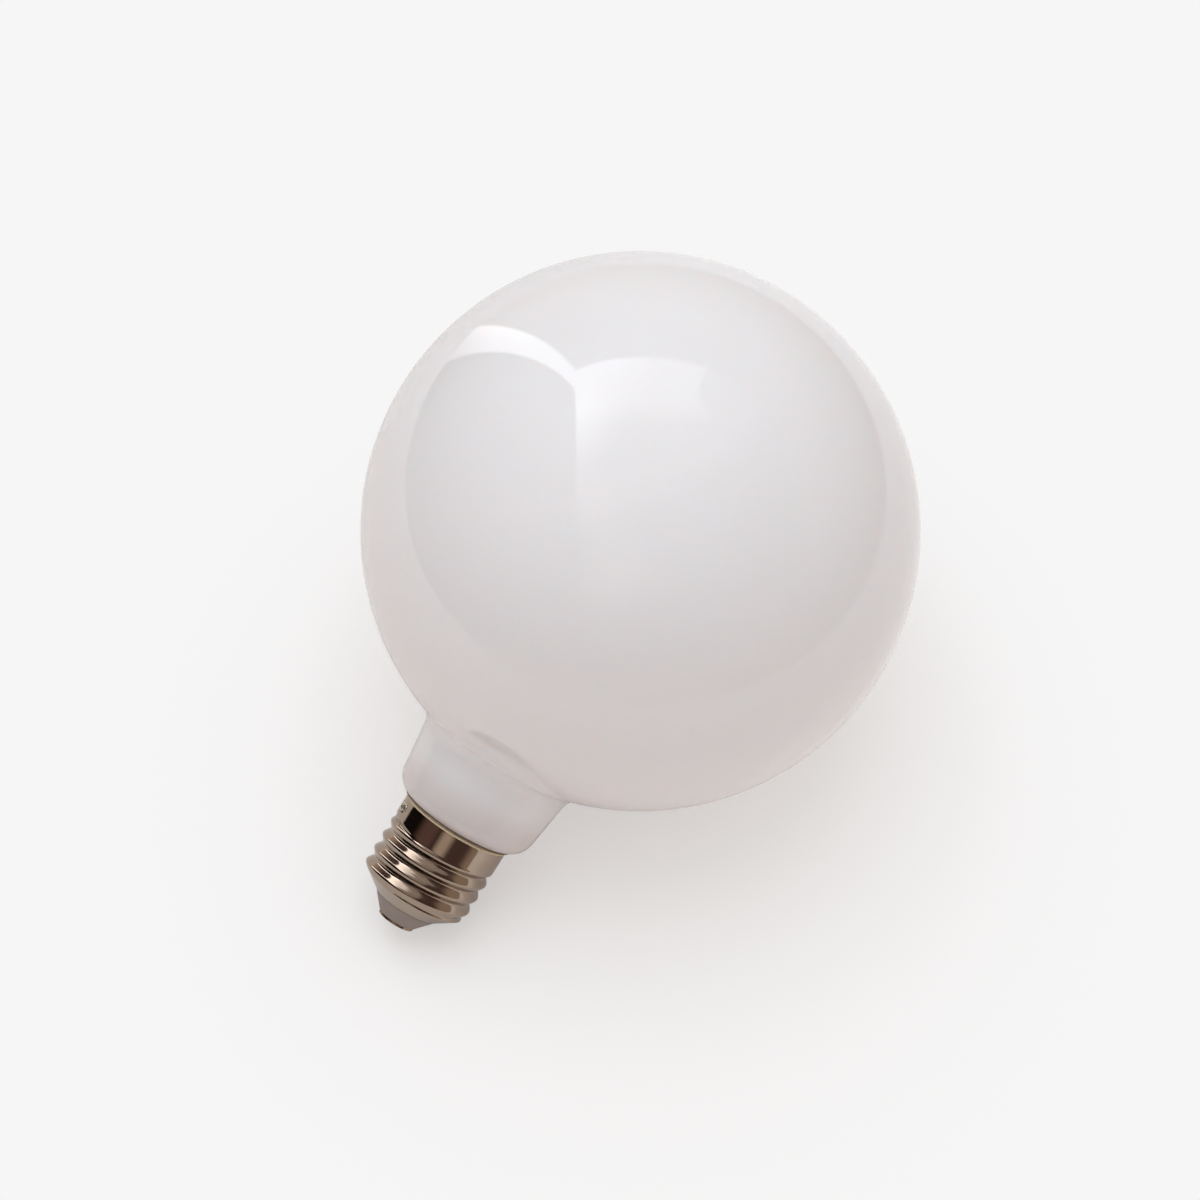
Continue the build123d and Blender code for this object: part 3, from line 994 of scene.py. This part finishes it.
# %% Pale table top material
def table_material():
    material, tree = new_material("pale_table_top")
    path = add(tree, "ShaderNodeLightPath").node
    seen = add(
        tree,
        "ShaderNodeMath",
        {0: path.outputs["Is Camera Ray"], 1: path.outputs["Is Transmission Ray"]},
        operation="MAXIMUM",
    )
    tone = hex_colour(BACKGROUND)[0]
    shown = (*[(tone - own) / light for own, light in zip(TABLE_OWN_TONE, TABLE_LIGHT)], 1.0)
    lit = add(tree, "ShaderNodeBsdfDiffuse", {"Color": shown})
    glow = add(tree, "ShaderNodeEmission", {"Color": (*TABLE_OWN_TONE, 1.0)})
    near = add(tree, "ShaderNodeAddShader", {0: lit, 1: glow})
    far = add(tree, "ShaderNodeEmission", {"Color": hex_colour(BACKGROUND)})
    place = add(tree, "ShaderNodeTexCoord", out="Object")
    middle = touch_point + table_far * SHADOW_MIDDLE * MM
    away = add(tree, "ShaderNodeVectorMath", {0: place, 1: middle}, out="Value", operation="DISTANCE")
    fade = add(
        tree,
        "ShaderNodeMapRange",
        {"Value": away, "From Min": SHADOW_FADE[0] * MM, "From Max": SHADOW_FADE[1] * MM},
        interpolation_type="SMOOTHSTEP",
    )
    shown_side = add(tree, "ShaderNodeMixShader", {0: fade, 1: near, 2: far})
    thrown_back = add(tree, "ShaderNodeBsdfDiffuse", {"Color": hex_colour("fbf0ea")})
    # Painted shade and light for mirrors: the sheet is darker at its left and paler at its right
    to_right = add(
        tree,
        "ShaderNodeVectorMath",
        {0: place, 1: table_right},
        out="Value",
        operation="DOT_PRODUCT",
    )
    side_start = touch_point.dot(table_right)
    right_side = add(
        tree,
        "ShaderNodeMapRange",
        {"Value": to_right, "From Min": side_start - SIDE_FADE * MM, "From Max": side_start + SIDE_FADE * MM},
        interpolation_type="SMOOTHSTEP",
    )
    sheet = add(
        tree,
        "ShaderNodeMix",
        {"Factor": right_side, "A": hex_colour("e8e4e2"), "B": hex_colour("fbf9f9")},
        out=2,
        data_type="RGBA",
    )
    mirrored_sheet = add(tree, "ShaderNodeBsdfDiffuse", {"Color": sheet})
    lit_share = add(tree, "ShaderNodeMath", {0: right_side, 1: RIGHT_SIDE_LIGHT}, operation="MULTIPLY")
    # Painted light: on its right side the mirrored sheet partly glows
    painted_light = add(tree, "ShaderNodeEmission", {"Color": hex_colour("fffcfa")})
    mirrored = add(tree, "ShaderNodeMixShader", {0: lit_share, 1: mirrored_sheet, 2: painted_light})
    plain = add(tree, "ShaderNodeMixShader", {0: path.outputs["Is Glossy Ray"], 1: thrown_back, 2: mirrored})
    all_sides = add(tree, "ShaderNodeMixShader", {0: seen, 1: plain, 2: shown_side})
    behind = add(tree, "ShaderNodeNewGeometry", out="Backfacing")
    clear = add(tree, "ShaderNodeBsdfTransparent")
    surface = add(tree, "ShaderNodeMixShader", {0: behind, 1: all_sides, 2: clear})
    add(tree, "ShaderNodeOutputMaterial", {"Surface": surface})
    return material


table.data.materials.append(table_material())
print("%s on table" % table.data.materials[0].name)

# %% [markdown]
# The light
#
# Daylight comes over the far side of the table from a wide window and from the pale room. Area
# lamps could stand for both, but they light a table unevenly. Sun lamps with a very wide angle
# are as soft and light it evenly, so it keeps its tone. They are kept out of mirrors, where the
# painted room takes their place.

# %% Make the lamps
def soft_sun(name, lean, width, share, colour):
    """A wide sun; lean is its direction on the table's right, far and up axes, share its light."""
    towards = (lean[0] * table_right + lean[1] * table_far + lean[2] * table_up).normalized()
    light = bpy.data.lights.new(name, "SUN")
    light.angle = math.radians(width)
    light.energy = share * math.pi / towards.dot(table_up)
    light.color = colour
    lamp = bpy.data.objects.new(name, light)
    lamp.rotation_mode = "QUATERNION"
    lamp.rotation_quaternion = towards.to_track_quat("Z", "Y")
    lamp.visible_glossy = False
    bpy.context.scene.collection.objects.link(lamp)
    print("%s: %.0f degrees wide, energy %.2f" % (name, width, light.energy))


soft_sun("window_light", (-0.05, 0.22, 1.0), width=46, share=0.30, colour=(0.915, 0.985, 1.04))
soft_sun("room_light", (-0.02, 0.1, 1.0), width=110, share=0.33, colour=(0.935, 0.99, 1.02))

# %% [markdown]
# The room that mirrors see
#
# Polished glass and nickel look like what is around them. A real room can't be built in a few
# lines, so it is painted onto the sky: each direction is turned into the spot of a polished ball
# that would mirror it, and the shapes are drawn there with soft edges, in the ball's own
# coordinates. The directions are fixed in space, so the room stays put when the view moves.

# %% Turn a direction into a spot on the ball
def ball(pixel):
    """A pixel of the picture as a place on the ball, from -1 to 1 both ways."""
    return (
        (pixel[0] - GLOBE_PIXEL[0]) / GLOBE_PIXEL_RADIUS,
        (GLOBE_PIXEL[1] - pixel[1]) / GLOBE_PIXEL_RADIUS,
    )


def circle_through(pixels):
    """Centre and radius, on the ball, of the circle through three pixels."""
    (ax, ay), (bx, by), (cx, cy) = [ball(pixel) for pixel in pixels]
    twice = 2 * (ax * (by - cy) + bx * (cy - ay) + cx * (ay - by))
    a2, b2, c2 = ax * ax + ay * ay, bx * bx + by * by, cx * cx + cy * cy
    x = (a2 * (by - cy) + b2 * (cy - ay) + c2 * (ay - by)) / twice
    y = (a2 * (cx - bx) + b2 * (ax - cx) + c2 * (bx - ax)) / twice
    return (x, y), math.hypot(ax - x, ay - y)


world = bpy.data.worlds.new("room")
bpy.context.scene.world = world
world.use_nodes = True
world.cycles.sampling_method = "NONE"
room = world.node_tree
room.nodes.clear()

direction = add(room, "ShaderNodeTexCoord", out="Generated")
facing = add(room, "ShaderNodeVectorMath", {0: direction, 1: towards_camera}, operation="ADD")
facing = add(room, "ShaderNodeVectorMath", {0: facing}, operation="NORMALIZE")
ball_x = add(room, "ShaderNodeVectorMath", {0: facing, 1: camera_right}, out="Value", operation="DOT_PRODUCT")
ball_y = add(room, "ShaderNodeVectorMath", {0: facing, 1: camera_up}, out="Value", operation="DOT_PRODUCT")
spot = add(room, "ShaderNodeCombineXYZ", {"X": ball_x, "Y": ball_y, "Z": 1.0})
print("ball's right points to (%.2f, %.2f, %.2f)" % tuple(camera_right))

# %% [markdown]
# Shapes on the ball
#
# What glass mirrors of a room are windows, walls and their edges, bent to arcs by the ball. An
# image could hold them, but it would be blurred where one comes near. Lines, circles and soft
# spots are masks of a few nodes each, which stay sharp, and can be multiplied and lit.

# %% Helpers that draw on the ball
def both(*masks):
    """Where all the masks hold; (value, low, high) is a soft step of a value, 0 at low, 1 at high."""
    result = None
    for mask in masks:
        if isinstance(mask, tuple):
            mask = add(
                room,
                "ShaderNodeMapRange",
                {"Value": mask[0], "From Min": mask[1], "From Max": mask[2]},
                interpolation_type="SMOOTHSTEP",
            )
        if result is None:
            result = mask
        else:
            result = add(room, "ShaderNodeMath", {0: result, 1: mask}, operation="MULTIPLY")
    return result


def left_of(start, end, soft):
    """1 on the left of a line between two pixels, walking from start to end in the picture."""
    (ax, ay), (bx, by) = ball(start), ball(end)
    length = math.hypot(bx - ax, by - ay)
    across = (-(by - ay) / length, (bx - ax) / length)
    plane = (across[0], across[1], -(across[0] * ax + across[1] * ay))
    value = add(room, "ShaderNodeVectorMath", {0: spot, 1: plane}, out="Value", operation="DOT_PRODUCT")
    edge = soft / GLOBE_PIXEL_RADIUS / 2
    return both((value, -edge, edge))


def around(centre, none_at, full_at):
    """A round mask about a place on the ball: 0 at one distance from it and 1 at another."""
    away = add(room, "ShaderNodeVectorMath", {0: spot, 1: (*centre, 1.0)}, out="Value", operation="DISTANCE")
    return both((away, none_at, full_at))


def inside(pixels, soft):
    """1 inside the circle through three pixels."""
    centre, radius = circle_through(pixels)
    edge = soft / GLOBE_PIXEL_RADIUS / 2
    return around(centre, radius + edge, radius - edge)


def blob(pixel, core, reach):
    """A soft round spot around a pixel."""
    return around(ball(pixel), reach / GLOBE_PIXEL_RADIUS, core / GLOBE_PIXEL_RADIUS)


def glow(under, mask, colour, strength):
    """Adds light to what is there, where the mask holds."""
    light = add(
        room,
        "ShaderNodeVectorMath",
        {0: hex_colour(colour, strength)[:3], "Scale": mask},
        operation="SCALE",
    )
    return add(room, "ShaderNodeVectorMath", {0: under, 1: light}, operation="ADD")


# %% [markdown]
# What the room holds
#
# The lamp was lit by a window with a deep reveal, pale walls and a lit band high up,
# while the left of the room was dark. Each shape is placed by the pixels where the globe shows
# its edge, and its light was matched to how strongly the glass mirrors it.

# %% Paint the walls, the dark side, the window and the band
# Where the shapes lie, as pixels of the picture
ROOM_MIDDLE = (610, 500)
REVEAL_TOP = (575, 300)
REVEAL_FOOT = (580, 640)
PANE_TOP = [(577, 375), (645, 363), (705, 374)]
PANE_CORNER = (705, 374)
PANE_NOTCH = (695, 397)
PANE_LEDGE = (707, 420)
PANE_SLANT = [(640, 531), (745, 432)]
PANE_BRIGHT = [(580, 465), (620, 395)]
PANE_HOT = (579, 426)
SILL_SPOT = (592, 510)
SILL_LOW_SPOT = (617, 569)
BAND_UPPER = [(489.5, 326.9), (549.3, 348.3), (576.8, 376.7)]
BAND_LOWER = [(457, 359.8), (504.4, 355.0), (576.8, 394.7)]
BROWN_SPOT = (540, 520)

# The pale walls low around the table, paler at the top and left, and the dark room above
walls = around(ball(ROOM_MIDDLE), 0.56, 0.72)
painted = add(
    room,
    "ShaderNodeMix",
    {"Factor": walls, "A": hex_colour("5e4e4a"), "B": hex_colour("b4a394")},
    out=2,
    data_type="RGBA",
)
painted = glow(painted, both(walls, (ball_y, 0.3, 0.95)), "fff8f2", 0.25)
painted = glow(painted, both(walls, (ball_x, -0.55, -0.95)), "fffcfa", 0.2)
painted = glow(painted, both(walls, (ball_x, 0.8, 0.98)), "fffcfa", 0.35)

# The dark left side, behind the window's reveal and under the lit band
left_of_reveal = left_of(REVEAL_FOOT, REVEAL_TOP, 5)
under_band = add(
    room,
    "ShaderNodeMath",
    {0: inside(BAND_LOWER, 4), 1: both((ball_y, 0.32, 0.22))},
    operation="MAXIMUM",
)
left_dark = both(left_of_reveal, under_band, (ball_x, -0.95, -0.72), (ball_y, -0.5, -0.2))
brown_spot = both(blob(BROWN_SPOT, 20, 70), left_dark)
for mask, tone in ((left_dark, "1e1919"), (brown_spot, "77615d")):
    painted = add(
        room,
        "ShaderNodeMix",
        {"Factor": mask, "A": painted, "B": hex_colour(tone)},
        out=2,
        data_type="RGBA",
    )

# The window: a pale pane with a stepped right edge, brightest along its left edge
right_of_reveal = left_of(REVEAL_TOP, REVEAL_FOOT, 4)
pane = both(right_of_reveal, inside(PANE_TOP, 4))
stepped = add(
    room,
    "ShaderNodeMath",
    {0: left_of(PANE_NOTCH, PANE_CORNER, 4), 1: left_of(PANE_LEDGE, PANE_NOTCH, 4)},
    operation="MAXIMUM",
)
painted = glow(painted, both(pane, stepped, (ball_y, 0.36, 0.44)), "f4f8ff", 1.2)
painted = glow(painted, both(pane, left_of(*PANE_SLANT, 20), (ball_y, 0.0, 0.15)), "fffcfa", 0.35)
painted = glow(painted, both(pane, left_of(*PANE_BRIGHT, 60)), "f4f8ff", 1.5)
painted = glow(painted, both(pane, blob(PANE_HOT, 4, 48)), "f4f8ff", 1.3)
for spot_pixel in (SILL_SPOT, SILL_LOW_SPOT):
    painted = glow(painted, both(right_of_reveal, blob(spot_pixel, 10, 48)), "fff2e6", 0.6)

# The lit band up and left of the window
above_lower = add(room, "ShaderNodeMath", {0: 1.0, 1: inside(BAND_LOWER, 4)}, operation="SUBTRACT")
band = both(inside(BAND_UPPER, 4), above_lower, left_of_reveal, (ball_x, -0.74, -0.36))
painted = glow(painted, band, "f4f8ff", 3.4)
print("the shapes take %d nodes" % len(room.nodes))

# %% [markdown]
# Who sees the room
#
# In a real room all light comes from the same walls. Here the painted room is only for mirrors:
# it is made to look right in the glass, and as a lamp it would be noisy. So rays that light the
# lamp get one even pale tone, and the camera looks past the table into its own plain tone.

# %% Give each kind of ray its own room
path = add(room, "ShaderNodeLightPath").node
AMBIENT = hex_colour("faf0ea", 0.42)
seen_by_mirrors = add(
    room,
    "ShaderNodeMix",
    {"Factor": path.outputs["Is Glossy Ray"], "A": AMBIENT, "B": painted},
    out=2,
    data_type="RGBA",
)
straight = add(
    room,
    "ShaderNodeMath",
    {0: path.outputs["Is Camera Ray"], 1: path.outputs["Is Transmission Ray"]},
    operation="MAXIMUM",
)
everything = add(
    room,
    "ShaderNodeMix",
    {"Factor": straight, "A": seen_by_mirrors, "B": hex_colour(BACKGROUND)},
    out=2,
    data_type="RGBA",
)
background = add(room, "ShaderNodeBackground", {"Color": everything})
add(room, "ShaderNodeOutputWorld", {"Surface": background})
print("the whole room takes %d nodes" % len(room.nodes))
